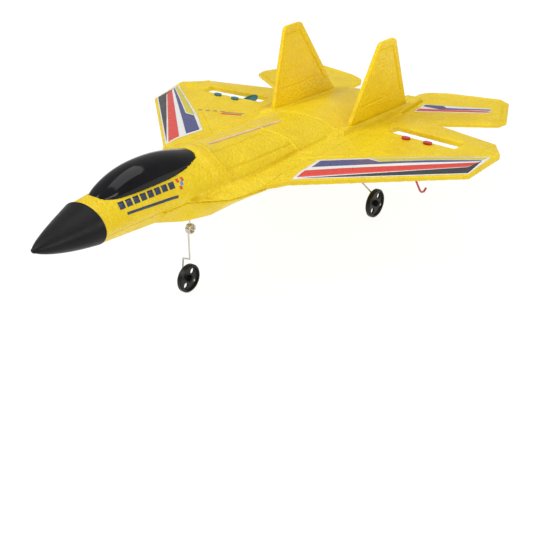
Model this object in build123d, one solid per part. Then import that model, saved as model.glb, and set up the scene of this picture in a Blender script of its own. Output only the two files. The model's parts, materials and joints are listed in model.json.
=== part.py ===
from build123d import *
from math import asin, atan2, cos, degrees, hypot, radians, sin
import os

# A small twin-engined foam jet with two pusher propellers turning in slots in its wings.
# Millimetres. +X is to port, -Y is forward, +Z is up. Everything is drawn with the wings level;
# parked() then leans the finished aircraft back on to its three wheels and centres it.

# ---- driving dimensions ----
SPAN = 290.0
LENGTH = 407.0          # nose tip to the tips of the tailplanes, wings level
DECK_Z = 82.0            # upper surface of the wings
WING_T = 4.0             # thickness of the wing foam
NOSE_Y = -LENGTH / 2
TAIL_Y = LENGTH / 2
NOSE_TIP_Z = 79.6
CONE_BASE_Y = -164.0     # where the nose cone meets the foam
CONE_HALF_W = 18.5
CONE_HALF_H = 13.0
NOSE_BULGE = 0.66        # 1 is a straight cone, smaller is blunter
CONE_WALL = 1.2
CONE_STEPS = (0.04, 0.12, 0.26, 0.46, 0.72, 1.0)
SPIGOT_LEN = 12.0        # foam plug inside the nose cone
ROOT_X = 46.0            # wing panels are glued to the body here
BELLY_Z = 62.0           # flat underside
BELLY_HALF_W = 24.0
BELLY_LINES = (-66.5, -42.0)  # sunk lines across the belly
SPLIT_Z = 77.0           # glue line between the upper and lower body mouldings
WING_LOW_Z = DECK_Z - WING_T
BODY_END_Y = 148.0       # nozzle edge
BOOM_END_Y = 162.0

# plan outlines of the port side
SLOT = [(57.7, 77.5), (114.9, 73.4), (115.3, 87.4), (59.4, 91.4)]
CHINE = [(19.8, -94.1), (38.8, -80.1), (42.2, -71.5)]  # plan of the chine ahead of the wing
WING = [(ROOT_X, -52.0), (54.2, -38.0), (141.0, 45.1), (SPAN / 2, 82.0), (131.4, 104.2), (ROOT_X, 119.4)]
FOLD = [(ROOT_X, -35.0), WING[3]]  # ahead of this line the wing droops towards its leading edge
TIP_DROOP = 4.5          # at the outer end of the leading edge
ROOT_DROOP = 2.4         # at the front end of the glued root
CHINE_DROOP = 4.0
TIP_T = 2.8              # wing thickness at the drooped corner
TE_DROP = 2.4            # at the outer end of the trailing edge
BELLY_AFT_Y = 90.0       # the belly rises from here to the nozzle
TAILPLANE = [(43.2, 123.4), (70.0, 118.6), (113.6, 146.6), (115.4, 156.0), (98.0, 197.2), (88.0, TAIL_Y),
             (47.6, 194.0), (33.0, 186.5), (28.0, 178.0), (28.0, BOOM_END_Y + 0.4), (39.5, BOOM_END_Y + 0.4)]

FIN_X = 34.0
FIN_CANT = 8.0
FIN_T = 3.4
TAIL_TOP_Z = 79.0
TAIL_T = 3.2

MOTOR_X = SPAN / 2 * 0.597   # thrust lines
MOTOR_Z = 70.0
MOTOR_R = 4.25
MOTOR_LEN = 20.0
MOTOR_AFT_Y = 74.0
PROP_Y = 82.5
PROP_R = 26.0
BLADE_REST = 33.0        # the starboard blades stand at this angle
SHAFT_R = 0.5
RUNNING_FIT = 0.06       # radial play of every turning shaft

WIRE_R = 0.6
NOSE_WHEEL_R = 10.0
MAIN_WHEEL_R = 11.0
NOSE_WHEEL = (0.5, -78.5, NOSE_WHEEL_R)
MAIN_WHEEL = (49.5, 79.5, 22.3)
WHEEL_W = 4.0
WHEEL_WEB = 1.6          # thickness between hub and rim
WHEEL_RIM = 2.2          # width of the raised rim
WHEEL_HUB_R = 2.6
HOLE_TURNS = (-40, 140)  # where the two holes stand, from the top towards the nose

BAY_FRONT, BAY_AFT, BAY_HALF_W = -45.0, 50.0, 17.0
BAY_FLOOR_Z = BELLY_Z + 2.5
HATCH_FRONT, HATCH_AFT, HATCH_HALF_W = -36.0, 8.0, 12.0
HINGE_Y, HINGE_Z, HINGE_R = -34.2, 61.4, 1.3

PARTS = {}


def keep(name, shape):
    """Register a finished sub-part under its node name."""
    PARTS[name] = shape
    return shape


def both_sides(name, shape):
    """Register a port sub-part and its mirror image to starboard."""
    keep("port_" + name, shape)
    return keep("starboard_" + name, mirror(shape, Plane.YZ))


def plate(points, z_low, z_high):
    """A flat plate with the given plan outline."""
    face = make_face(Polyline(*points, close=True))
    return extrude(Pos(0, 0, z_low) * face, z_high - z_low)


def section(y, points):
    """A face across the body at station y, from its starboard-to-port half outline (x, z)."""
    half = [Vector(x, y, z) for x, z in points]
    other = [Vector(-x, y, z) for x, z in reversed(points) if x > 0]
    return make_face(Polyline(*half, *other, close=True))


def rod(points, radius):
    """Round wire that follows the points, with a ball at every bend."""
    shape = None
    for start, end in zip(points, points[1:]):
        a, b = Vector(*start), Vector(*end)
        run = extrude(Plane(a, z_dir=b - a) * Circle(radius), (b - a).length)
        shape = run if shape is None else shape + run
    for bend in points[1:-1]:
        shape += Pos(*bend) * Sphere(radius)
    return shape


def cyl_x(x0, x1, y, z, radius):
    """Cylinder along X."""
    return extrude(Plane((x0, y, z), z_dir=(1, 0, 0)) * Circle(radius), x1 - x0)


def cyl_y(x, y0, y1, z, radius):
    """Cylinder along Y."""
    return extrude(Plane((x, y0, z), z_dir=(0, 1, 0)) * Circle(radius), y1 - y0)


def box(x0, x1, y0, y1, z0, z1):
    """Box between two corners."""
    return Pos((x0 + x1) / 2, (y0 + y1) / 2, (z0 + z1) / 2) * Box(x1 - x0, y1 - y0, z1 - z0)


def above(a, b, c, depth=40.0):
    """Everything above the plane through three points, as a thick slab."""
    a, b, c = Vector(*a), Vector(*b), Vector(*c)
    up = (b - a).cross(c - a)
    if up.Z < 0:
        up = up * -1
    return extrude(Plane(a, x_dir=b - a, z_dir=up) * Rectangle(900, 900), depth)


# ---- body shape: hump, deck and belly ----

def bell(y, half_w, top_z, low_z, low_half_w):
    """Section of the central pod: a bell-shaped back over a tapered underside."""
    h = top_z - DECK_Z
    back = [(half_w, DECK_Z + 1.5), (half_w * 0.86, DECK_Z + h * 0.42), (half_w * 0.62, DECK_Z + h * 0.72),
            (half_w * 0.34, DECK_Z + h * 0.93), (0, top_z)]
    back += [(-x, z) for x, z in reversed(back[:-1])]
    under = [(half_w, DECK_Z - 1.5), (low_half_w, low_z + 2.2), (low_half_w * 0.75, low_z)]
    under += [(-x, z) for x, z in reversed(under)]
    curve = Spline(*[Vector(x, y, z) for x, z in back])
    sides = Polyline(curve @ 0, *[Vector(x, y, z) for x, z in under], curve @ 1)
    return make_face(curve + sides)


def pod():
    """Central body from the nose cone to the nozzle."""
    stations = [(CONE_BASE_Y, CONE_HALF_W, 95.0, 70.0, 10.5), (-140, 19.0, 98.0, 68.6, 11.5),
                (-112, 20.5, 100.0, 67.0, 13.0), (-88, 24.0, 100.5, 65.0, 15.0),
                (-76, 26.5, 99.6, 64.0, 16.0),
                (-71.5, 27.5, 102.0, 64.0, 16.0), (-66, 28.5, 101.2, 64.0, 16.0),
                (-52, 31.0, 97.8, 64.0, 16.0), (26, 31.5, 92.0, 64.0, 16.0), (90, 29.0, 88.6, 68.0, 14.0),
                (BODY_END_Y, 22.0, 84.4, 75.5, 12.0)]
    faces = [bell(*s) for s in stations]
    return loft(faces, ruled=True)


def deck():
    """Shoulders beside the pod, drooping to the chine in front of the wings, and the tail booms."""
    half = [(0, -93), CHINE[0], CHINE[1], CHINE[2], (ROOT_X, WING[0][1]), WING[-1], (43.4, 121),
            (39.5, BOOM_END_Y), (26, BOOM_END_Y), (24, BODY_END_Y), (0, BODY_END_Y)]
    slab = plate(half, SPLIT_Z - 1, DECK_Z)
    slab -= above((ROOT_X, FOLD[0][1], DECK_Z), (ROOT_X, WING[0][1], DECK_Z - ROOT_DROOP),
                  (*CHINE[1], DECK_Z - CHINE_DROOP))
    boom = Solid.make_loft([
        Wire.make_polygon([Vector(x, y, z) for x, z in ((FIN_X - w, SPLIT_Z + 1), (FIN_X - w * 0.7, top),
                                                        (FIN_X + w * 0.7, top), (FIN_X + w, SPLIT_Z + 1))])
        for y, w, top in ((38, 3.0, 82.2), (58, 6.0, 85.6), (140, 6.2, 82.4), (BOOM_END_Y, 5.0, 80.6))], True)
    side = slab + boom
    return side + mirror(side, Plane.YZ)


def belly():
    """Intake block and underside, from the swept intake lips to the tail."""
    stations = [(-116, 20.0, SPLIT_Z, 13.0, 67.3), (-98, 21.0, SPLIT_Z, 19.5, 63.4),
                (CHINE[1][1], CHINE[1][0], SPLIT_Z, BELLY_HALF_W, BELLY_Z),
                (WING[0][1], ROOT_X - 0.3, SPLIT_Z, BELLY_HALF_W, BELLY_Z),
                (BELLY_AFT_Y, ROOT_X - 0.8, SPLIT_Z, BELLY_HALF_W, BELLY_Z),
                (BODY_END_Y - 6, 38.5, SPLIT_Z, 16.0, 74.0)]
    faces = []
    for y, x_top, z_top, x_low, z_low in stations:
        faces.append(section(y, [(0, z_low), (x_low - 3, z_low), (x_low, z_low + 1.4), (x_top, z_top - 1.2),
                                 (x_top, z_top + 0.8), (0, z_top + 0.8)]))
    return loft(faces, ruled=True)


def cone_section(t, wall=0.0):
    """Ellipse across the nose cone; t is 0 at the tip and 1 at the base."""
    grow = t ** NOSE_BULGE
    y = NOSE_Y + (CONE_BASE_Y - NOSE_Y) * t
    z = NOSE_TIP_Z + (DECK_Z - NOSE_TIP_Z) * t ** 2
    face = Ellipse(max(CONE_HALF_W * grow - wall, 0.2), max(CONE_HALF_H * grow - wall, 0.2))
    return Plane((0, y, z), x_dir=(1, 0, 0), z_dir=(0, 1, 0)) * face


def nose_cone_solid(wall=0.0, start=0.0):
    """Ogive nose, or the room inside it when a wall thickness is given."""
    steps = [start + (1 - start) * s for s in CONE_STEPS]
    body = loft([cone_section(t, wall) for t in steps])
    if wall:
        return body
    tip = cone_section(CONE_STEPS[0])
    tip_r = CONE_HALF_H * CONE_STEPS[0] ** NOSE_BULGE
    cap_len = tip.center().Y - NOSE_Y
    dome = scale(Sphere(1), (tip_r * CONE_HALF_W / CONE_HALF_H, cap_len, tip_r))
    return body + Pos(0, tip.center().Y, tip.center().Z) * dome


CANOPY_RIM_Z = 94.0
# station, half width and height of the canopy
CANOPY = [(-155.0, 4.6, 95.8), (-149.0, 9.0, 99.0), (-141.0, 11.4, 102.6), (-132.0, 12.8, 105.4),
          (-118.0, 13.8, 107.1), (-104.0, 14.0, 106.8), (-90.0, 13.4, 104.8), (-80.0, 11.8, 102.5),
          (-73.5, 9.8, 101.0)]


def canopy_solid(wall=0.0):
    """Blown canopy, or the room inside it; the rim is level and the rear end is cut off square."""
    faces = []
    for y, half_w, top in CANOPY:
        w, h = half_w - wall, top - CANOPY_RIM_Z - wall
        arc = [(w * cos(radians(a)), CANOPY_RIM_Z + h * sin(radians(a)) ** 0.9) for a in (0, 22, 45, 68, 90)]
        arc += [(-x, z) for x, z in reversed(arc[:-1])]
        curve = Spline(*[Vector(x, y, z) for x, z in arc])
        faces.append(make_face(curve + Line(curve @ 1, curve @ 0)))
    return loft(faces)


def body_foam():
    """Upper and lower body mouldings, canopy and nose cone."""
    spigot = extrude(Plane((0, CONE_BASE_Y - SPIGOT_LEN, DECK_Z - 0.4), x_dir=(1, 0, 0), z_dir=(0, 1, 0))
                     * Ellipse(CONE_HALF_W * 0.70, CONE_HALF_H * 0.70), SPIGOT_LEN + 2)
    whole = pod() + deck() + belly()
    canopy = canopy_solid()
    whole = whole - canopy
    top = whole & box(-80, 80, -200, 200, SPLIT_Z, 130)
    low = whole & box(-80, 80, -200, 200, 40, SPLIT_Z)
    top = top + (spigot & box(-80, 80, -200, 200, SPLIT_Z, 130))
    for x in (FIN_X, -FIN_X):
        top -= fin_blank(1 if x > 0 else -1)
    top -= box(-1.0, 1.0, -52, 26, 80, 130) & spine_strip_blank()
    for k in range(6):
        rib = Pos(0, 104 + 7 * k, 88.0 - 0.52 * k) * Rot(-4.2, 0, 0) * Box(26 - k, 1.2, 2.4)
        top -= rib
    keep("upper_body_foam", top)

    low -= box(-BAY_HALF_W, BAY_HALF_W, BAY_FRONT, BAY_AFT, BAY_FLOOR_Z, SPLIT_Z)
    low -= hatch_hole()
    low -= switch_hole() + led_hole()
    low -= nose_block_solid()
    for y in BELLY_LINES:
        low -= box(-BELLY_HALF_W, BELLY_HALF_W, y - 0.4, y + 0.4, BELLY_Z - 1, BELLY_Z + 0.4)
    low -= main_wire_groove() + main_wire() + clamp_screws()
    keep("lower_body_foam", low)

    keep("canopy", canopy - canopy_solid(1.0))
    cone = nose_cone_solid() - nose_cone_solid(CONE_WALL, 0.06) - spigot
    keep("nose_cone", cone)


# ---- stiffener strip on the spine ----

def spine_strip_blank():
    """Strip on edge along the back, standing 0.4 mm proud of the foam."""
    y0, z0, y1, z1 = -52.0, 98.2, 26.0, 92.4
    outline = [Vector(0, y0, z0 - 4), Vector(0, y1, z1 - 4), Vector(0, y1, z1), Vector(0, y0, z0)]
    face = make_face(Polyline(*outline, close=True))
    return extrude(face, 1.0, both=True)


# ---- fins ----

FIN_OUTLINE = [(62.6, 85.4), (88.2, 141.8), (108.9, 141.8), (144.6, 80.4), (143, 77.6), (66, 77.6)]


def fin_blank(side):
    """Canted fin with its tab, before the embossed border."""
    face = make_face(Polyline(*[Vector(0, y, z) for y, z in FIN_OUTLINE], close=True))
    flat = extrude(face, FIN_T / 2, both=True)
    tops = [e for e in flat.edges().filter_by(Axis.X) if e.center().Z > 130]
    flat = fillet(tops, 5.0)
    return Pos(side * FIN_X, 0, DECK_Z) * Rot(0, side * FIN_CANT, 0) * Pos(0, 0, -DECK_Z) * flat


def fins():
    """Two fins, each with a fine sunk line that follows its edges on both faces."""
    border = [(64.5, 92.0), (84.8, 138.5), (107.5, 138.2), (136.5, 92.0)]
    face = make_face(Polyline(*[Vector(0, y, z) for y, z in border], close=True))
    inner = offset(face, -4.0, kind=Kind.INTERSECTION)
    core = offset(face, -4.9, kind=Kind.INTERSECTION)
    ring = extrude(inner - core, 0.5, both=True)
    for side, name in ((1, "port_fin_foam"), (-1, "starboard_fin_foam")):
        place = Pos(side * FIN_X, 0, DECK_Z) * Rot(0, side * FIN_CANT, 0) * Pos(0, 0, -DECK_Z)
        fin = fin_blank(side)
        for face_x in (FIN_T / 2, -FIN_T / 2):
            fin -= place * Pos(face_x, 0, 0) * ring
        keep(name, fin)


# ---- wings and tailplanes ----

def wing_panel():
    """Port panel: flat in the middle, drooping towards its leading edge and its rear outer corner."""
    panel = plate(WING, WING_LOW_Z - TIP_DROOP, DECK_Z)
    nose = WING[2]
    panel -= above(FOLD[0] + (DECK_Z,), FOLD[1] + (DECK_Z,), nose + (DECK_Z - TIP_DROOP,))
    under = box(0, SPAN, -SPAN, SPAN, WING_LOW_Z - 60, WING_LOW_Z)
    low_tip = nose + (DECK_Z - TIP_DROOP - TIP_T,)
    under -= above(FOLD[0] + (WING_LOW_Z,), FOLD[1] + (WING_LOW_Z,), low_tip, 90.0)
    panel -= under
    panel -= above(WING[3] + (DECK_Z,), WING[5] + (DECK_Z,), WING[4] + (DECK_Z - TE_DROP,))
    slot = plate(SLOT, WING_LOW_Z - 10, DECK_Z + 5)
    slot = fillet(slot.edges().filter_by(Axis.Z), 1.5)
    return panel - slot


def wings():
    """Wing panels with the propeller slots and the holes for the motor mounts."""
    panel = wing_panel()
    for x in POST_XS:
        panel -= Pos(x, POST_Y, DECK_Z) * Cylinder(POST_R, 20)
    both_sides("wing_foam", panel)


def tailplanes():
    """All-moving in the full-size jet, but here fixed plates glued to the booms."""
    tail = plate(TAILPLANE, TAIL_TOP_Z - TAIL_T, TAIL_TOP_Z)
    corners = [e for e in tail.edges().filter_by(Axis.Z) if 140 < e.center().Y < TAIL_Y - 0.1]
    corners = [e for e in corners if abs(e.center().Y - BOOM_END_Y) > 1]
    tail = fillet(corners, 2.4)
    rim = [e for e in tail.edges().group_by(Axis.Z)[-1] if e.center().X > 60]
    tail = fillet(rim, 0.8)
    both_sides("tailplane_foam", tail)


# ---- motors and their mounts ----

POST_R = 1.6
POST_Y = 70.5
POST_XS = (MOTOR_X - 8.7, MOTOR_X + 8.7)
SLEEVE_R = MOTOR_R + 1.1
HEAD_H = 1.5


def motor_mounts():
    """Saddle, sleeve, two posts with oval heads above the wing, and a skid below the propeller."""
    top = WING_LOW_Z
    saddle = box(MOTOR_X - 11.5, MOTOR_X + 11.5, 58.5, 73.0, top - 1.4, top)
    web = box(MOTOR_X - 1.5, MOTOR_X + 1.5, 58.5, 73.0, MOTOR_Z + 2, top - 1)
    web += box(MOTOR_X - 4.2, MOTOR_X - 3.0, 58.5, 73.0, MOTOR_Z + 2, top - 1)
    web += box(MOTOR_X + 3.0, MOTOR_X + 4.2, 58.5, 73.0, MOTOR_Z + 2, top - 1)
    sleeve = cyl_y(MOTOR_X, 58.5, 73.0, MOTOR_Z, SLEEVE_R)
    posts = Part()
    for x in POST_XS:
        posts += extrude(Pos(x, POST_Y, top - 1) * Circle(POST_R), DECK_Z - top + 1)
        posts += extrude(Pos(x, POST_Y, DECK_Z) * SlotOverall(6.6, 4.0), HEAD_H)
    low = MOTOR_Z - SLEEVE_R
    skid = rod([(MOTOR_X, 62.0, low + 0.8), (MOTOR_X, 66.0, low - 2.6), (MOTOR_X, 80.4, 41.4),
                (MOTOR_X, 83.0, 39.4), (MOTOR_X, 86.4, 38.6), (MOTOR_X, 89.4, 40.4)], 0.8)
    mount = saddle + web + sleeve + posts + skid
    mount -= cyl_y(MOTOR_X, 50, 80, MOTOR_Z, MOTOR_R)
    both_sides("motor_mount", mount)


def motors():
    """Coreless motor cans with a plastic end cap, and the shafts that turn in them."""
    can = cyl_y(MOTOR_X, MOTOR_AFT_Y - MOTOR_LEN, MOTOR_AFT_Y, MOTOR_Z, MOTOR_R)
    can += cyl_y(MOTOR_X, MOTOR_AFT_Y, MOTOR_AFT_Y + 1.2, MOTOR_Z, 1.5)
    can -= cyl_y(MOTOR_X, MOTOR_AFT_Y - 14, MOTOR_AFT_Y + 3, MOTOR_Z, SHAFT_R + RUNNING_FIT)
    both_sides("motor_can", can)
    front = MOTOR_AFT_Y - MOTOR_LEN
    cap = cyl_y(MOTOR_X, front - 1.3, front, MOTOR_Z, MOTOR_R - 0.35)
    for x in (MOTOR_X - 1.6, MOTOR_X + 1.6):
        cap += box(x - 0.5, x + 0.5, front - 2.6, front - 1, MOTOR_Z - 0.6, MOTOR_Z + 0.6)
    both_sides("motor_end_cap", cap)
    shaft = cyl_y(MOTOR_X, MOTOR_AFT_Y - 13, PROP_Y + 3.2, MOTOR_Z, SHAFT_R)
    both_sides("motor_shaft", shaft)


def propeller():
    """Two-bladed propeller about the Y axis, its blades along X."""
    hub = extrude(Plane((0, -3.2, 0), z_dir=(0, 1, 0)) * Circle(2.8), 5.6)
    hub = fillet(hub.edges().group_by(Axis.Y)[-1], 1.6)
    stations = [(1.2, 4.4, 1.7, 44), (6, 6.6, 1.5, 34), (13, 7.8, 1.2, 25), (20, 6.6, 1.0, 18),
                (24, 4.8, 0.8, 15), (PROP_R, 2.0, 0.6, 14)]  # radius, chord, thickness, pitch angle
    faces = []
    for r, chord, thick, pitch in stations:
        lens = [(-0.5, 0), (-0.2, 0.5), (0.2, 0.45), (0.5, 0), (0.2, -0.35), (-0.2, -0.4)]
        place = Plane((r, 0, 0), x_dir=(0, sin(radians(pitch)), cos(radians(pitch))), z_dir=(1, 0, 0))
        faces.append(place * make_face(Polyline(*[(u * chord, v * thick) for u, v in lens], close=True)))
    blade = loft(faces, ruled=True)
    prop = hub + blade + Rot(0, 180, 0) * blade
    return prop - cyl_y(0, -5, 2.9, 0, SHAFT_R)


def propellers():
    """Handed pair; the starboard one rests with a blade standing up through its slot."""
    prop = propeller()
    keep("port_propeller", Pos(MOTOR_X, PROP_Y, MOTOR_Z) * prop)
    turned = Rot(0, -BLADE_REST, 0) * mirror(prop, Plane.YZ)
    keep("starboard_propeller", Pos(-MOTOR_X, PROP_Y, MOTOR_Z) * turned)


# ---- undercarriage ----

def wheel(radius, x, y, z):
    """Disc wheel with a raised rim, a hub and two tear-drop holes."""
    half, web = WHEEL_W / 2, WHEEL_WEB / 2
    bore = WIRE_R + RUNNING_FIT
    rim = radius - WHEEL_RIM
    side = [(bore, half + 1), (WHEEL_HUB_R - 0.4, half + 1), (WHEEL_HUB_R, web), (rim, web),
            (rim + 0.5, half), (radius - 0.8, half), (radius, half - 0.8)]
    outline = side + [(r, -w) for r, w in reversed(side)]
    face = make_face(Polyline(*[Vector(w, 0, r) for r, w in outline], close=True))
    disc = revolve(face, Axis.X)
    hole_r = radius * 0.21
    reach = rim - 0.3 - hole_r
    for turn in HOLE_TURNS:
        drop = make_face(Polyline(Vector(0, -hole_r * 0.85, reach), Vector(0, 0, WHEEL_HUB_R + 0.2),
                                  Vector(0, hole_r * 0.85, reach), close=True))
        drop = extrude(drop, WHEEL_W, both=True) + cyl_x(-WHEEL_W, WHEEL_W, 0, reach, hole_r)
        disc -= Rot(turn, 0, 0) * drop
    return Pos(x, y, z) * disc


def nose_gear():
    """Sprung nose leg: block in the belly, wire with a coil and a cranked foot, wheel and collar."""
    x, y, z = NOSE_WHEEL
    leg_y, coil_z, coil_r = -74.0, 45.0, 2.9
    top = rod([(0, leg_y, 71.0), (0, leg_y, coil_z + 0.5)], WIRE_R)
    coil = Part()
    for k in range(3):
        coil += Plane((-1.3 + 1.3 * k, leg_y + 0.4, coil_z), z_dir=(1, 0, 0)) * Torus(coil_r, WIRE_R + 0.07)
    foot = rod([(0, leg_y - 1.8, coil_z - 1.5), (0, leg_y - 1.8, 23.2), (-5.9, leg_y - 2.0, 22.0),
                (-5.9, leg_y - 3.0, 14.0), (-5.9, y, z), (x + 5.2, y, z)], WIRE_R)
    keep("nose_gear_wire", top + coil + foot)
    keep("nose_gear_block", nose_block_solid() - cyl_z(0, leg_y, 60, 71.0, WIRE_R))
    keep("nose_wheel", wheel(NOSE_WHEEL_R, x, y, z))
    keep("nose_wheel_collar", collar(x + 3.3, x + 4.8, y, z))


def cyl_z(x, y, z0, z1, radius):
    """Cylinder along Z."""
    return extrude(Pos(x, y, z0) * Circle(radius), z1 - z0)


def collar(x0, x1, y, z):
    """Small plastic ring that keeps a wheel on its wire."""
    return cyl_x(x0, x1, y, z, 1.7) - cyl_x(x0 - 1, x1 + 1, y, z, WIRE_R)


def nose_block_solid():
    """Plastic block glued into the belly."""
    return box(-4.5, 4.5, -79, -69, BELLY_Z, BELLY_Z + 13)


WIRE_Y = 66.0
WIRE_Z = BELLY_Z + WIRE_R


def main_wire_groove():
    """Cross groove in the belly for the main wire."""
    reach = BELLY_HALF_W + 1
    return box(-reach, reach, WIRE_Y - WIRE_R, WIRE_Y + WIRE_R, BELLY_Z - 1, BELLY_Z + 2 * WIRE_R)


def main_wire():
    """One wire across the belly with a leg down each side."""
    x, y, z = MAIN_WHEEL
    leg_x = x - 4.1
    half = [(0, WIRE_Y, WIRE_Z), (17.0, WIRE_Y, WIRE_Z), (20.5, WIRE_Y + 1.4, WIRE_Z - 3.6),
            (leg_x, y, z + 8.2), (leg_x, y, z), (x + 4.9, y, z)]
    leg = rod(half, WIRE_R)
    return leg + mirror(leg, Plane.YZ)


CLAMP_T = 1.6
SCREW_R = 1.0
SCREW_XS = (-8.5, 8.5)
SCREW_Y = WIRE_Y - 3.4


def clamp_screws():
    """Two cross-head screws that hold the clamp plate."""
    low = BELLY_Z - CLAMP_T
    screws = Part()
    for x in SCREW_XS:
        cross = box(x - 1.2, x + 1.2, SCREW_Y - 0.3, SCREW_Y + 0.3, low - 1.4, low - 0.5)
        cross += box(x - 0.3, x + 0.3, SCREW_Y - 1.2, SCREW_Y + 1.2, low - 1.4, low - 0.5)
        shank = cyl_z(x, SCREW_Y, low, BELLY_Z + 6, SCREW_R)
        head = cyl_z(x, SCREW_Y, low - 1.0, low, 1.9)
        screws += shank + head - cross
    return screws


def main_gear():
    """Main wire under its clamp plate, with two wheels and their collars."""
    x, y, z = MAIN_WHEEL
    keep("main_gear_wire", main_wire())
    clamp = box(-12, 12, WIRE_Y - 6, WIRE_Y + 6, BELLY_Z - CLAMP_T, BELLY_Z)
    clamp = fillet(clamp.edges().filter_by(Axis.Z), 2.0)
    for screw_x in SCREW_XS:
        clamp -= cyl_z(screw_x, SCREW_Y, BELLY_Z - CLAMP_T - 1, BELLY_Z + 1, SCREW_R)
    keep("gear_clamp_plate", clamp)
    keep("gear_clamp_screws", clamp_screws())
    both_sides("main_wheel", wheel(MAIN_WHEEL_R, x, y, z))
    both_sides("wheel_collar", collar(x + 3.2, x + 4.6, y, z))


# ---- battery hatch ----

def hatch_hole():
    """Cut-out in the belly foam for the hatch frame."""
    return box(-HATCH_HALF_W - 3, HATCH_HALF_W + 3, HATCH_FRONT - 3, HATCH_AFT + 3, BELLY_Z - 1, BAY_FLOOR_Z)


def hatch():
    """Frame glued in the belly, door, and the hinge pin at the door's front edge."""
    frame = hatch_hole() & box(-50, 50, -60, 60, BELLY_Z, BAY_FLOOR_Z)
    frame -= box(-HATCH_HALF_W, HATCH_HALF_W, HATCH_FRONT + 3.2, HATCH_AFT, 50, 80)
    for x0, x1 in ((-8.0, -4.3), (4.3, 8.0)):
        frame += cyl_x(x0, x1, HINGE_Y, HINGE_Z, HINGE_R)
    frame -= cyl_x(-4.3, 4.3, HINGE_Y, HINGE_Z, HINGE_R + 0.35)
    frame -= cyl_x(-20, 20, HINGE_Y, HINGE_Z, SHAFT_R)
    keep("hatch_frame", frame)
    half_w = HATCH_HALF_W - 0.3
    door = box(-half_w, half_w, HATCH_FRONT + 3.6, HATCH_AFT - 0.3, BELLY_Z, BELLY_Z + 1.2)
    door += box(-4.0, 4.0, HINGE_Y, HATCH_FRONT + 5, BELLY_Z - 1.0, BELLY_Z + 0.2)
    door += cyl_x(-4.0, 4.0, HINGE_Y, HINGE_Z, HINGE_R)
    door += box(-5, 5, HATCH_AFT - 3, HATCH_AFT + 2.2, BELLY_Z - 1.1, BELLY_Z - 0.1)
    door += box(-5, 5, HATCH_AFT - 3, HATCH_AFT - 0.5, BELLY_Z - 1.1, BELLY_Z + 0.5)
    for k in range(5):
        door -= box(-7, 7, -22 + 5 * k, -21 + 5 * k, BELLY_Z - 1, BELLY_Z + 0.4)
    door -= cyl_x(-20, 20, HINGE_Y, HINGE_Z, SHAFT_R + RUNNING_FIT)
    keep("battery_hatch", door)
    keep("hatch_pin", cyl_x(-8.0, 8.0, HINGE_Y, HINGE_Z, SHAFT_R))


# ---- battery and electronics ----

SWITCH_Y = 32.0
LED_X, LED_Y = 9.0, 32.0
PCB_Z = 68.2


def switch_hole():
    """Window in the belly for the switch bezel and body."""
    return box(-6.5, 6.5, SWITCH_Y - 3, SWITCH_Y + 3, BELLY_Z - 1, BAY_FLOOR_Z)


def led_hole():
    """Hole in the belly for the lamp."""
    return cyl_z(LED_X, LED_Y, BELLY_Z - 1, BAY_FLOOR_Z, 1.5)


def electronics():
    """Battery on its pad, receiver board with its parts, switch and lamp."""
    battery = box(-10, 10, -31, 4, 65.6, 72.6)
    battery = fillet(battery.edges().filter_by(Axis.Y), 1.6)
    keep("battery", battery)
    keep("battery_pad", box(-8, 8, -27, 0, 72.6, SPLIT_Z))
    board = box(-13, 13, 19, 45, PCB_Z, PCB_Z + 1.0)
    keep("receiver_board", board)
    keep("board_pad", box(-9, 9, 38, 44, PCB_Z + 1.0, SPLIT_Z))
    chips = box(-9.5, -4.5, 25, 30, PCB_Z + 1.0, PCB_Z + 2.0) + box(2, 8, 31.5, 36, PCB_Z + 1.0, PCB_Z + 2.2)
    keep("board_chips", chips)
    can = fillet(box(-10, -6, 33, 36.4, PCB_Z + 1.0, PCB_Z + 3.4).edges().filter_by(Axis.Z), 1.2)
    keep("board_crystal", can)
    socket = box(-3.5, 3.5, 20, 25.5, PCB_Z + 1.0, PCB_Z + 5.4)
    keep("battery_socket", socket)
    plug = box(-3.1, 3.1, 15.5, 20, PCB_Z + 1.2, PCB_Z + 5.2)
    keep("battery_plug", plug)
    for x, name in ((-1.4, "battery_lead_red"), (1.4, "battery_lead_black")):
        route = FilletPolyline((x, 4.0, 69.2), (x, 8.4, 69.2), (x, 11.6, 71.4), (x, 15.5, 71.4), radius=4.5)
        keep(name, sweep(Plane(route @ 0, z_dir=route % 0) * Circle(0.55), path=route))
    body = box(-4.4, 4.4, SWITCH_Y - 1.9, SWITCH_Y + 1.9, BELLY_Z + 1.0, PCB_Z)
    bezel = box(-6.5, 6.5, SWITCH_Y - 3, SWITCH_Y + 3, BELLY_Z, BELLY_Z + 1.0)
    slot = box(-3.0, 3.0, SWITCH_Y - 1.0, SWITCH_Y + 1.0, BELLY_Z - 1, BELLY_Z + 3.0)
    keep("switch_bezel", bezel - slot)
    keep("switch_body", body - slot)
    knob = box(-2.7, -0.7, SWITCH_Y - 0.8, SWITCH_Y + 0.8, BELLY_Z - 1.6, BELLY_Z + 2.8)
    keep("switch_knob", knob)
    lamp = cyl_z(LED_X, LED_Y, BELLY_Z - 0.4, PCB_Z, 1.5)
    keep("status_lamp", fillet(lamp.edges().group_by(Axis.Z)[0], 1.1))


# ---- stickers ----

STICKER_T = 0.2


def stickers():
    """Thin vinyl stickers on the wings, the tailplanes and the forward body."""
    wing = [(57.2, -33.5), (53.6, 0.7), (76.5, 21.3), (142.6, 73.8), (139.6, 46.8)]
    panel = wing_panel()
    skin = (Pos(0, 0, STICKER_T) * panel - panel) & plate(wing, WING_LOW_Z + 0.4 - TIP_DROOP / 2, DECK_Z + 1)
    both_sides("wing_sticker", skin)
    tail = [(46.1, 134.7), (44.4, 156.4), (91.9, 175.7), (95.0, 165.9)]
    both_sides("tailplane_sticker", plate(tail, TAIL_TOP_Z, TAIL_TOP_Z + STICKER_T))


# ---- stance ----

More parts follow.
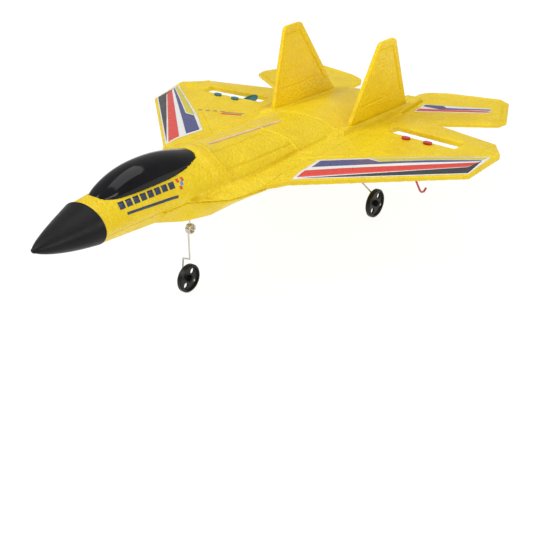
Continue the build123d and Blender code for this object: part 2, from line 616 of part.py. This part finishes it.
def parked(shapes):
    """Lean the aircraft back until all three wheels touch the ground, then centre it."""
    dy, dz = MAIN_WHEEL[1] - NOSE_WHEEL[1], MAIN_WHEEL[2] - NOSE_WHEEL[2]
    lean = degrees(atan2(dz, dy) - asin((MAIN_WHEEL_R - NOSE_WHEEL_R) / hypot(dy, dz)))
    turned = {node: Rot(-lean, 0, 0) * shape for node, shape in shapes.items()}
    bounds = [shape.bounding_box() for shape in turned.values()]
    low_y, high_y = min(b.min.Y for b in bounds), max(b.max.Y for b in bounds)
    place = Pos(0, -(low_y + high_y) / 2, -min(b.min.Z for b in bounds))
    return {node: place * shape for node, shape in turned.items()}


body_foam()
keep("spine_strip", spine_strip_blank())
fins()
wings()
tailplanes()
motor_mounts()
motors()
propellers()
nose_gear()
main_gear()
hatch()
electronics()
stickers()

os.makedirs("parts", exist_ok=True)
for node, shape in parked(PARTS).items():
    export_step(shape, f"parts/{node}.step")
    print(node, round(shape.volume), shape.is_valid)
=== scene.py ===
import json
import math

import bmesh
import bpy
import numpy as np
from mathutils import Matrix, Vector
from mathutils.bvhtree import BVHTree


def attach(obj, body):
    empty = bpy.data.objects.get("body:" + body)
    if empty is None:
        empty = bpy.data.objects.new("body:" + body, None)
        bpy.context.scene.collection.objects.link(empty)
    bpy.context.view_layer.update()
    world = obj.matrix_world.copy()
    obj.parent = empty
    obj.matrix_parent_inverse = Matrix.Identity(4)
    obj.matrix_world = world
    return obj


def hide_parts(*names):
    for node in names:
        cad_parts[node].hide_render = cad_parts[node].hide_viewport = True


# Looks of a small foam jet. The foam skins and the stickers are new meshes that stand for their CAD
# nodes; everything else keeps its CAD mesh and gets a material here.

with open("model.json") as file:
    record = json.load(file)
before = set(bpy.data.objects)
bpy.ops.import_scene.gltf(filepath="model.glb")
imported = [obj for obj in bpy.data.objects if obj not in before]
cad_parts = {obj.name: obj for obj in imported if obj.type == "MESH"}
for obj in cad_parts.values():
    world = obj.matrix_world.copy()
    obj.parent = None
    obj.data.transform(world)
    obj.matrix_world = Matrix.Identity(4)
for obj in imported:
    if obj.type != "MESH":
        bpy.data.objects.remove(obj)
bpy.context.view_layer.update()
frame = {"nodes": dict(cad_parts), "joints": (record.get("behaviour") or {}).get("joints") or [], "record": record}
NODES = frame["nodes"]
JOINTS = {joint["name"]: joint for joint in frame["joints"]}
SIDES = (("port", 1), ("starboard", -1))
MM = 0.001

# ---- level coordinates ----
# Details are placed in millimetres with the wings level, then leaned back with the parked aircraft.
# The propellers' axis gives the lean, and the nose wheel's level place gives the origin.
COS, SIN = JOINTS["port_propeller_spin"]["axis"][1], -JOINTS["port_propeller_spin"]["axis"][2]
LEAN = np.array([[1, 0, 0], [0, COS, SIN], [0, -SIN, COS]])
NOSE_WHEEL = (0.5, -78.5, 10.0)
ORIGIN = np.array(JOINTS["nose_wheel_spin"]["pos_m"]) / MM - LEAN @ NOSE_WHEEL


def to_frame(points):
    """Level millimetres to frame metres."""
    return (np.asarray(points, float) @ LEAN.T + ORIGIN) * MM


def to_level(points):
    """Frame metres to level millimetres."""
    return (np.asarray(points, float) / MM - ORIGIN) @ LEAN


def direction_to_frame(v):
    """A level direction as a frame direction."""
    return LEAN @ np.array(v, float)


UP, PORT = direction_to_frame((0, 0, 1)), direction_to_frame((1, 0, 0))


# ---- materials ----

def add(tree, kind, inputs=None, **settings):
    """New shader node with its settings, and its inputs set to values or linked to sockets."""
    node = tree.nodes.new("ShaderNode" + kind)
    for key, value in settings.items():
        setattr(node, key, value)
    for key, value in (inputs or {}).items():
        if isinstance(value, bpy.types.NodeSocket):
            tree.links.new(value, node.inputs[key])
        else:
            node.inputs[key].default_value = value
    return node


def new_material(name, **shader_inputs):
    """Material with one Principled shader. Returns (material, tree, shader, object coordinates)."""
    material = bpy.data.materials.new(name)
    material.use_nodes = True
    tree = material.node_tree
    tree.nodes.clear()
    shader = add(tree, "BsdfPrincipled", {k.replace("_", " "): v for k, v in shader_inputs.items()})
    output = add(tree, "OutputMaterial")
    tree.links.new(shader.outputs[0], output.inputs[0])
    coords = add(tree, "TexCoord").outputs["Object"]
    return material, tree, shader, coords


def noise(tree, coords, scale, detail=3.0, roughness=0.6):
    """Noise value socket; scale is in lumps per metre."""
    node = add(tree, "TexNoise", {"Vector": coords, "Scale": scale, "Detail": detail, "Roughness": roughness})
    return node.outputs[0]


def blend_colors(tree, factor, a, b):
    """Colour socket between two colours."""
    node = add(tree, "Mix", data_type="RGBA", blend_type="MIX")
    for socket, value in (("Factor_Float", factor), ("A_Color", a), ("B_Color", b)):
        target = next(i for i in node.inputs if i.identifier == socket)
        if isinstance(value, bpy.types.NodeSocket):
            tree.links.new(value, target)
        else:
            target.default_value = value
    return next(o for o in node.outputs if o.identifier == "Result_Color")


def spread(tree, value, low, high, to_low=0.0, to_high=1.0):
    """Map a value socket from one range to another, clamped."""
    return add(tree, "MapRange", {"Value": value, "From Min": low, "From Max": high,
                                  "To Min": to_low, "To Max": to_high}).outputs[0]


def bump(tree, height, distance, strength=1.0, normal=None):
    """Bump normal socket; distance is in metres."""
    inputs = {"Height": height, "Distance": distance, "Strength": strength}
    if normal is not None:
        inputs["Normal"] = normal
    return add(tree, "Bump", inputs).outputs[0]


def link(tree, shader, **sockets):
    """Link sockets to shader inputs by name."""
    for key, value in sockets.items():
        tree.links.new(value, shader.inputs[key.replace("_", " ")])


BEAD = 3.2 * MM  # width of one foam bead


def bead_bump(tree, coords, depth):
    """Swollen beads with sunk borders, and the fine grain of the mould between them."""
    cells = add(tree, "TexVoronoi", {"Vector": coords, "Scale": 1 / BEAD}, feature="DISTANCE_TO_EDGE")
    domes = spread(tree, cells.outputs[0], 0.0, 0.32)
    first = bump(tree, domes, depth, 0.8)
    swell = bump(tree, noise(tree, coords, 210, 3), depth * 2.2, 0.6, first)
    return bump(tree, noise(tree, coords, 1500, 2), depth * 0.35, 0.5, swell)


def foam(name, light, deep, pale):
    """Moulded bead foam: mottled colour, pale bead borders, waxy skin."""
    material, tree, shader, coords = new_material(name, Subsurface_Weight=0.10, Subsurface_Scale=0.003,
                                                  Coat_Weight=0.05, Coat_Roughness=0.3,
                                                  Specular_IOR_Level=0.32)
    shader.inputs["Subsurface Radius"].default_value = (1.0, 0.75, 0.2)
    cloud = spread(tree, noise(tree, coords, 42, 6, 0.7), 0.34, 0.66)
    color = blend_colors(tree, cloud, light, deep)
    cell = add(tree, "TexVoronoi", {"Vector": coords, "Scale": 1 / BEAD}, feature="F1")
    grey = add(tree, "RGBToBW", {"Color": cell.outputs["Color"]}).outputs[0]
    color = blend_colors(tree, spread(tree, grey, 0.25, 0.9, 0.0, 0.22), color, pale)
    speck = spread(tree, noise(tree, coords, 1300, 2), 0.52, 0.75, 0.0, 0.3)
    color = blend_colors(tree, speck, color, deep)
    scuff = spread(tree, noise(tree, coords, 24, 8, 0.75), 0.58, 0.74, 0.0, 0.35)
    color = blend_colors(tree, scuff, color, pale)
    rough = spread(tree, noise(tree, coords, 120, 4), 0.3, 0.7, 0.32, 0.5)
    link(tree, shader, Base_Color=color, Roughness=rough, Normal=bead_bump(tree, coords, 0.00036))
    return material


def lighter(color, gain, lift):
    """A paler version of a colour."""
    return tuple(min(c * gain + lift, 1) for c in color[:3]) + (1,)


def moulded(name, color, rough=0.3, grain=0.00003, coat=0.0, **extra):
    """Moulded plastic with slight colour drift, rubbed patches and fine grain."""
    material, tree, shader, coords = new_material(name, Coat_Weight=coat, Coat_Roughness=0.08, **extra)
    drift = spread(tree, noise(tree, coords, 60, 5), 0.35, 0.65)
    worn = spread(tree, noise(tree, coords, 180, 8, 0.75), 0.6, 0.78, 0.0, 0.25)
    tone = blend_colors(tree, drift, color, lighter(color, 1.25, 0.003))
    tone = blend_colors(tree, worn, tone, lighter(color, 1.5625, 0.02))
    gloss = spread(tree, noise(tree, coords, 240, 5), 0.3, 0.75, rough * 0.82, min(rough * 1.3, 1))
    skin = bump(tree, noise(tree, coords, 2600, 2), grain)
    link(tree, shader, Base_Color=tone, Roughness=gloss, Normal=skin)
    return material


TARNISH = (0.62, 0.52, 0.36)  # share of each colour channel left where metal is tarnished


def metal(name, color, rough=0.25, streak=(1, 1, 40)):
    """Drawn metal: fine streaks, a little tarnish."""
    material, tree, shader, coords = new_material(name, Metallic=1.0)
    stretched = add(tree, "Mapping", {"Vector": coords, "Scale": streak}).outputs[0]
    lines = noise(tree, stretched, 90, 4)
    tarnish = spread(tree, noise(tree, coords, 130, 5), 0.45, 0.75, 0.0, 0.55)
    color = blend_colors(tree, tarnish, color, tuple(c * s for c, s in zip(color[:3], TARNISH)) + (1,))
    link(tree, shader, Base_Color=color, Roughness=spread(tree, lines, 0.3, 0.7, rough * 0.8, rough * 1.5),
         Normal=bump(tree, lines, 0.00002, 0.5))
    return material


def vinyl(name, color):
    """Printed film on foam: glossy, with the beads telegraphing through and faint print mottle."""
    material, tree, shader, coords = new_material(name, Coat_Weight=0.25, Coat_Roughness=0.15)
    mottle = spread(tree, noise(tree, coords, 700, 4), 0.4, 0.7, 0.0, 0.6)
    tone = blend_colors(tree, mottle, color, lighter(color, 0.86, 0.05))
    rough = spread(tree, noise(tree, coords, 150, 3), 0.3, 0.7, 0.26, 0.42)
    link(tree, shader, Base_Color=tone, Roughness=rough, Normal=bead_bump(tree, coords, 0.00007))
    return material


YELLOW = foam("bead_foam_yellow", (0.84, 0.62, 0.004, 1), (0.76, 0.52, 0.002, 1), (0.89, 0.71, 0.05, 1))
AMBER = foam("bead_foam_amber", (0.92, 0.67, 0.001, 1), (0.86, 0.59, 0.001, 1), (0.93, 0.72, 0.005, 1))
WHITE = vinyl("vinyl_white", (0.80, 0.80, 0.78, 1))
NAVY = vinyl("vinyl_navy", (0.045, 0.05, 0.20, 1))
RED = vinyl("vinyl_red", (0.70, 0.035, 0.018, 1))
BLACK = vinyl("vinyl_black", (0.022, 0.022, 0.024, 1))
OLIVE = vinyl("vinyl_olive", (0.62, 0.54, 0.02, 1))
INK = vinyl("ink_dark", (0.02, 0.03, 0.07, 1))
SKY = vinyl("ink_blue", (0.03, 0.28, 0.75, 1))

# Finish of each material slot that keeps its CAD meshes; foam and stickers get new meshes below
FINISHES = {
    "nose_black": moulded("nose_satin_black", (0.004, 0.004, 0.005, 1), 0.42, 0.00004,
                          Specular_IOR_Level=0.2),
    "canopy_black": moulded("canopy_gloss_black", (0.002, 0.002, 0.003, 1), 0.08, 0.0, coat=0.05,
                            Specular_IOR_Level=0.25),
    "glass_fibre": moulded("fibre_strip", (0.66, 0.47, 0.30, 1), 0.34, 0.00005),
    "red_plastic": moulded("mount_red", (0.42, 0.006, 0.008, 1), 0.2, 0.00001, coat=0.4),
    "teal_plastic": moulded("mount_teal", (0.003, 0.13, 0.19, 1), 0.2, 0.00001, coat=0.4),
    "motor_steel": metal("motor_can", (0.62, 0.62, 0.62, 1), 0.22, (1, 1, 1)),
    "cap_plastic": moulded("end_cap_white", (0.72, 0.72, 0.69, 1), 0.4),
    "shaft_steel": metal("ground_shaft", (0.70, 0.70, 0.70, 1), 0.16),
    "spring_wire": metal("spring_wire", (0.62, 0.58, 0.50, 1), 0.24),
    "wheel_black": moulded("wheel_black", (0.003, 0.003, 0.003, 1), 0.34, 0.00003,
                           Specular_IOR_Level=0.25),
    "collar_plastic": moulded("collar_black", (0.016, 0.016, 0.016, 1), 0.42),
    "black_plastic": moulded("fitting_black", (0.018, 0.018, 0.019, 1), 0.44, 0.00005),
    "screw_steel": metal("screw_plated", (0.60, 0.60, 0.58, 1), 0.28),
    "battery_wrap": moulded("battery_pouch", (0.42, 0.44, 0.46, 1), 0.3, 0.00006, Metallic=0.6),
    "foam_pad": moulded("pad_foam", (0.05, 0.05, 0.05, 1), 0.85, 0.0001),
    "circuit_board": moulded("board_green", (0.008, 0.11, 0.045, 1), 0.3, 0.00001),
    "chip_black": moulded("chip_black", (0.015, 0.015, 0.016, 1), 0.5),
    "crystal_can": metal("crystal_can", (0.66, 0.66, 0.66, 1), 0.2),
    "white_plastic": moulded("nylon_white", (0.74, 0.74, 0.70, 1), 0.38),
    "red_lead": moulded("lead_red", (0.46, 0.01, 0.01, 1), 0.4),
    "black_lead": moulded("lead_black", (0.012, 0.012, 0.012, 1), 0.4),
    "red_lens": moulded("lens_red", (0.55, 0.015, 0.01, 1), 0.1, 0.0, Transmission_Weight=0.35),
}

for row in frame["record"]["subparts"]:
    finish = FINISHES.get(row["material_slot"])
    if finish:
        data = NODES[row["node"]].data
        data.materials.clear()
        data.materials.append(finish)


# ---- foam skins ----

def mesh_arrays(mesh):
    """Vertex places, edges and vertex normals of a mesh as arrays."""
    co = np.empty(len(mesh.vertices) * 3)
    mesh.vertices.foreach_get("co", co)
    edges = np.empty(len(mesh.edges) * 2, int)
    mesh.edges.foreach_get("vertices", edges)
    normals = np.empty(len(mesh.vertices) * 3)
    mesh.vertices.foreach_get("normal", normals)
    return co.reshape(-1, 3), edges.reshape(-1, 2), normals.reshape(-1, 3)


def soften(co, edges, steps):
    """Move each vertex towards the middle of its neighbours, once for each step size."""
    a, b = edges.T
    count = np.bincount(np.concatenate([a, b]), minlength=len(co))
    for step in steps:
        for axis in range(3):
            line = co[:, axis]
            total = np.bincount(a, line[b], len(co)) + np.bincount(b, line[a], len(co))
            co[:, axis] = line + (total / count - line) * step
    return co


def distance_to_line(points, line):
    """Distance in plan from each point to a polyline."""
    best = np.full(len(points), np.inf)
    for start, end in zip(line, line[1:]):
        start, run = np.array(start, float), np.subtract(end, start)
        share = np.clip((points - start) @ run / (run @ run), 0, 1)
        best = np.minimum(best, np.linalg.norm(points - start - share[:, None] * run, axis=1))
    return best


# Embossed lines of the port side in plan, mirrored to starboard: (height, points)
RIDGE, GROOVE = 0.8, -0.85
LINE_W = 0.7
RELIEF = [
    (RIDGE, [(0, -61.5), (5.4, -62.7), (17.5, -65.8), (25.6, -64.5), (29.5, -61.5), (34.5, -58)]),
    (RIDGE, [(0, 2.2), (7.2, 2.5), (23.5, 5.8), (31.4, 4.6), (39.5, 9.7), (39.6, 48.0), (37.3, 52.4),
             (22.1, 54.0), (0, 51.2)]),
    (RIDGE, [(39.1, -3.8), (54.4, 9.7), (66.4, 20.0), (76.0, 28.5)]),
    (RIDGE, [(131.8, 75.5), (131.1, 101.5)]),
    (GROOVE, [(13.1, -63.5), (10.6, -49.0), (9.8, -26.0), (7.8, 1.0)]),
    (GROOVE, [(25.4, -64.0), (26.4, -42.0), (26.3, 4.0)]),
    (GROOVE, [(27.9, -88.0), (27.8, -79.0), (30.5, -67.0), (33.1, -61.0)]),
    (GROOVE, [(30.7, -84.0), (31.5, -77.0), (37.5, -70.4)]),
    (GROOVE, [(33.4, -57.5), (31.4, 3.6)]),
    (GROOVE, [(47.5, 52.0), (47.5, 116.0)]),
]
TAIL_RELIEF = [
    (GROOVE, [(49.0, 127.5), (69.5, 122.8), (109.5, 148.6), (110.8, 155.6), (95.0, 192.6), (87.0, 198.8),
              (49.0, 189.6), (38.5, 183.5)]),
]
# Sunk line on both faces of a fin, seen from the side
FIN_RELIEF = [(GROOVE, [(70.0, 92.0), (87.2, 135.4), (105.6, 135.4), (131.8, 92.0)])]
UNDERSIDE_Z = 76  # plan lines stay above this height


def emboss(co, normals, relief):
    """Raise or sink the surface along the lines: fins on both faces, all else on the upper one."""
    level = to_level(co)
    if relief is FIN_RELIEF:
        flat = level[:, 1:]
        marked = np.abs(normals @ PORT) > 0.5
    else:
        flat = np.column_stack([np.abs(level[:, 0]), level[:, 1]])
        marked = (normals @ UP > 0.15) & (level[:, 2] > UNDERSIDE_Z)
    lift = sum(height * np.exp(-(distance_to_line(flat, line) / LINE_W) ** 2) for height, line in relief)
    return co + normals * (lift * marked)[:, None] * MM


CORNER_STEP = 0.5                      # each of these steps rounds the edges off
SMOOTH_STEPS = [0.5, -0.53] * 8        # in and out again: voxel steps go, edges stay


def foam_skin(node, size, material, relief=(), rounding=3):
    """Closed mesh of voxels of the given size over a CAD foam solid, softened and embossed."""
    piece = bpy.data.objects.new(node + "_skin", NODES[node].data.copy())
    bpy.context.scene.collection.objects.link(piece)
    remesh = piece.modifiers.new("fine", "REMESH")
    remesh.mode = "VOXEL"
    remesh.voxel_size = size * MM
    bpy.context.view_layer.update()
    mesh = bpy.data.meshes.new_from_object(piece.evaluated_get(bpy.context.evaluated_depsgraph_get()))
    piece.modifiers.clear()
    piece.data = mesh
    co, edges, _ = mesh_arrays(mesh)
    co = soften(co, edges, [CORNER_STEP] * rounding + SMOOTH_STEPS)
    mesh.vertices.foreach_set("co", co.ravel())
    mesh.update()
    if relief:
        co, _, normals = mesh_arrays(mesh)
        mesh.vertices.foreach_set("co", emboss(co, normals, relief).ravel())
        mesh.update()
    mesh.shade_smooth()
    mesh.materials.clear()
    mesh.materials.append(material)
    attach(piece, "airframe")
    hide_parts(node)
    return piece


COARSER = 1.0
BODY_VOXEL, BELLY_VOXEL, PANEL_VOXEL, FIN_VOXEL = (size * COARSER for size in (0.62, 0.7, 0.5, 0.4))
THIN_ROUNDING = 8  # rounding steps of the fins and tailplanes

SKIN = {"upper": foam_skin("upper_body_foam", BODY_VOXEL, YELLOW, RELIEF),
        "lower": foam_skin("lower_body_foam", BELLY_VOXEL, YELLOW)}
for side, _ in SIDES:
    SKIN[side + "_wing"] = foam_skin(side + "_wing_foam", PANEL_VOXEL, YELLOW, RELIEF)
    SKIN[side + "_tail"] = foam_skin(side + "_tailplane_foam", PANEL_VOXEL, YELLOW, TAIL_RELIEF,
                                     THIN_ROUNDING)
    SKIN[side + "_fin"] = foam_skin(side + "_fin_foam", FIN_VOXEL, AMBER, FIN_RELIEF, THIN_ROUNDING)


# ---- stickers and printed marks ----

def surface_of(piece):
    """Search tree of a piece that decals lie on."""
    co, _, _ = mesh_arrays(piece.data)
    return BVHTree.FromPolygons([Vector(p) for p in co], [tuple(p.vertices) for p in piece.data.polygons])


def gridded(polygon, step):
    """Flat mesh of a polygon, cut along a grid so that it can bend with the surface under it."""
    part = bmesh.new()
    part.faces.new([part.verts.new((u, v, 0)) for u, v in polygon])
    for axis in range(2):
        values = [point[axis] for point in polygon]
        for cut in np.arange(math.ceil(min(values) / step) * step, max(values), step):
            place, normal = Vector((0, 0, 0)), Vector((0, 0, 0))
            place[axis], normal[axis] = cut, 1
            bmesh.ops.bisect_plane(part, geom=part.verts[:] + part.edges[:] + part.faces[:],
                                   plane_co=place, plane_no=normal)
    return part


FILM = 0.05                        # thickness of a film
BASE_LIFT, INK_LIFT = 0.06, 0.17   # height of the two layers over the foam
FROM_ABOVE, FROM_SIDE = 130, 60    # level places where the searches for the surface start


def decal(name, layers, target, from_side, mesh_step=2.0, replaced=None):
    """Thin film in layers of (lift, material, flat polygons), laid on the target piece.

    Polygons are in (x, y) and laid on from above, or in (y, z) and laid on from the side given by the
    sign of from_side.
    """
    tree = surface_of(target)
    outward = Vector(PORT * from_side if from_side else UP)
    sheet = bmesh.new()
    materials = []
    for lift, material, polygons in layers:
        if material not in materials:
            materials.append(material)
        for polygon in polygons:
            part = gridded(polygon, mesh_step)
            made = {}
            for vertex in part.verts:
                u, v, _ = vertex.co
                start = (from_side * FROM_SIDE, u, v) if from_side else (u, v, FROM_ABOVE)
                hit = tree.ray_cast(Vector(to_frame(start)), -outward)[0]
                if hit is None:
                    raise RuntimeError(f"{name} misses its surface at {u:.1f}, {v:.1f}")
                made[vertex] = sheet.verts.new(hit + outward * lift * MM)
            for face in part.faces:
                laid = sheet.faces.new([made[vertex] for vertex in face.verts])
                laid.material_index = materials.index(material)
                laid.normal_update()
                if laid.normal.dot(outward) < 0:
                    laid.normal_flip()
            part.free()
    mesh = bpy.data.meshes.new(name)
    sheet.to_mesh(mesh)
    sheet.free()
    for material in materials:
        mesh.materials.append(material)
    mesh.shade_smooth()
    piece = bpy.data.objects.new(name, mesh)
    bpy.context.scene.collection.objects.link(piece)
    thickness = piece.modifiers.new("film", "SOLIDIFY")
    thickness.thickness = FILM * MM
    thickness.offset = 1
    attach(piece, "airframe")
    if replaced:
        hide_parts(replaced)
    return piece


# Stickers of the port side in plan: outline of the white film, and the coloured bands on it
WING_FILM = [(54.8, -35.2), (51.0, 0.4), (76.8, 23.9), (142.0, 74.6), (139.6, 46.6)]
WING_BANDS = [
    (NAVY, [(55.2, -12.9), (53.4, -0.3), (77.6, 21.3), (86.0, 21.3), (139.0, 67.2), (138.2, 65.0),
            (78.7, 9.2)]),
    (OLIVE, [(77.9, 22.8), (140.4, 72.0), (139.5, 68.4), (86.4, 22.7)]),
    (RED, [(56.0, -31.0), (55.3, -20.4), (138.6, 63.4), (135.2, 53.9)]),
    (BLACK, [(57.2, -31.6), (135.5, 53.3), (139.3, 66.6), (138.9, 47.0)]),
]
TAIL_FILM = [(46.9, 134.9), (45.1, 155.4), (93.2, 176.4), (96.1, 165.2)]
TAIL_BANDS = [
    (NAVY, [(47.0, 150.6), (46.6, 154.8), (59.1, 160.6), (64.0, 157.4), (93.3, 174.2), (94.1, 171.6),
            (61.3, 151.6)]),
    (RED, [(48.0, 137.4), (47.4, 143.6), (94.3, 169.6), (95.3, 166.2)]),
]

STICKER_STEP, MARK_STEP, BADGE_STEP = 1.5, 1.6, 2.0  # grid of each kind of film

for side, sign in SIDES:
    for part, film, bands in (("wing", WING_FILM, WING_BANDS), ("tail", TAIL_FILM, TAIL_BANDS)):
        layers = [(BASE_LIFT, WHITE, [[(sign * x, y) for x, y in film]])]
        layers += [(INK_LIFT, color, [[(sign * x, y) for x, y in band]]) for color, band in bands]
        node = f"{side}_{'tailplane' if part == 'tail' else part}_sticker"
        decal(f"{side}_{part}_film", layers, SKIN[f"{side}_{part}"], 0,
              STICKER_STEP, node)


# Marks on the nose, in (y, z): a row of slanted bars, a thin bar below it and a small check mark
BAR_COUNT, BAR_PITCH, BAR_W = 8, 5.6, 4.3
BARS_Y, BARS_LOW_Z, BARS_TOP_Z = -149.0, 89.3, 92.7
THIN_BAR = [(-146.0, 85.8), (-106.0, 83.6), (-105.6, 85.2), (-145.6, 87.2)]
CHECK = 1.9
CHECK_AT = (-102.6, 87.6)


def slanted(y0, y1, z0, z1, lean=0.9):
    """Slanted block on the body side."""
    return [(y0, z0), (y1, z0), (y1 + lean, z1), (y0 + lean, z1)]


def check_square(column, row):
    """One square of the small check mark."""
    y, z = CHECK_AT[0] + CHECK * column, CHECK_AT[1] + CHECK * row
    return slanted(y, y + CHECK, z, z + CHECK, 0.3)


bar_starts = [BARS_Y + BAR_PITCH * k for k in range(BAR_COUNT)]
bars = [slanted(y, y + BAR_W, BARS_LOW_Z, BARS_TOP_Z) for y in bar_starts]
red_checks = [check_square(0, 0), check_square(0, 2), check_square(2, 2)]
NOSE_LAYERS = [(BASE_LIFT, INK, bars + [THIN_BAR]), (BASE_LIFT, RED, red_checks),
               (BASE_LIFT, SKY, [check_square(1, 1)])]
for side, sign in SIDES:
    decal(f"{side}_nose_marks", NOSE_LAYERS, SKIN["upper"], sign, MARK_STEP)

# Badge on the starboard wing, in plan: a row of dashes, then a band with a line beside it
DASH = [(-84.0, 33.0), (-81.0, 34.2), (-81.3, 35.4), (-84.3, 34.2)]
DASH_COUNT, DASH_PITCH = 4, (5.5, 2.3)
BADGE = [(-63.5, 35.6), (-48.8, 41.9), (-49.7, 44.4), (-64.4, 38.1)]
BADGE_LINE = [(-64.4, 39.9), (-49.2, 46.3), (-49.5, 47.2), (-64.7, 40.8)]

dashes = [[(x + DASH_PITCH[0] * k, y + DASH_PITCH[1] * k) for x, y in DASH] for k in range(DASH_COUNT)]
BADGE_LAYERS = [(BASE_LIFT, NAVY, dashes + [BADGE_LINE]), (BASE_LIFT, RED, [BADGE])]
decal("wing_badge", BADGE_LAYERS, SKIN["starboard_wing"], 0, BADGE_STEP)


# ---- stage ----

WORLD = 0.42       # strength of the white surroundings
FLOOR_GLOW = 0.92  # the floor gives off light of its own, so it comes out white
FLOOR_HALF = 6     # metres
LIGHT_AIM = Vector((0, 0, 0.08))
LIGHTS = [  # name, place, size and power
    ("key", (-0.9, -0.9, 1.5), (1.2, 1.2), 18),
    ("fill", (1.7, -0.6, 1.25), (1.4, 1.0), 16),
    ("top", (0.0, 0.6, 1.9), (1.8, 1.2), 11),
]

CAMERA_PLACE = (0.4009, -0.4914, 0.3502)
AZIMUTH, ELEVATION, ROLL = math.radians(38.303), math.radians(30.976), math.radians(3.102)
LENS, SENSOR = 63.22, 36.0


def stage():
    """Pale floor and soft lights."""
    floor_mesh = bpy.data.meshes.new("floor")
    corners = [(x * FLOOR_HALF, y * FLOOR_HALF, 0) for x, y in ((-1, -1), (1, -1), (1, 1), (-1, 1))]
    floor_mesh.from_pydata(corners, [], [(0, 1, 2, 3)])
    floor = bpy.data.objects.new("floor", floor_mesh)
    bpy.context.scene.collection.objects.link(floor)
    material, tree, shader, coords = new_material("floor_paper", Roughness=0.75, Emission_Strength=FLOOR_GLOW)
    shader.inputs["Emission Color"].default_value = (1, 1, 1, 1)
    tone = blend_colors(tree, noise(tree, coords, 3, 3), (0.10, 0.10, 0.10, 1), (0.12, 0.12, 0.12, 1))
    link(tree, shader, Base_Color=tone)
    floor_mesh.materials.append(material)

    world = bpy.data.worlds.new("studio")
    world.use_nodes = True
    background = world.node_tree.nodes["Background"]
    background.inputs["Color"].default_value = (1, 1, 1, 1)
    background.inputs["Strength"].default_value = WORLD
    bpy.context.scene.world = world
    for name, place, size, power in LIGHTS:
        data = bpy.data.lights.new(name, "AREA")
        data.shape = "RECTANGLE"
        data.size, data.size_y = size
        data.energy = power
        light = bpy.data.objects.new(name, data)
        light.location = place
        light.rotation_euler = (LIGHT_AIM - Vector(place)).to_track_quat("-Z", "Y").to_euler()
        bpy.context.scene.collection.objects.link(light)


def camera():
    """Camera at its viewing angle, rolled about its own axis."""
    data = bpy.data.cameras.new("camera")
    data.lens, data.sensor_width = LENS, SENSOR
    data.clip_start, data.clip_end = 0.02, 30
    eye = bpy.data.objects.new("camera", data)
    ahead = Vector((-math.sin(AZIMUTH) * math.cos(ELEVATION), math.cos(AZIMUTH) * math.cos(ELEVATION),
                    -math.sin(ELEVATION)))
    turn = Matrix.Rotation(ROLL, 3, ahead) @ ahead.to_track_quat("-Z", "Y").to_matrix()
    eye.matrix_world = Matrix.Translation(CAMERA_PLACE) @ turn.to_4x4()
    bpy.context.scene.collection.objects.link(eye)
    bpy.context.scene.camera = eye


stage()
camera()
bpy.context.scene.view_settings.view_transform = "Standard"
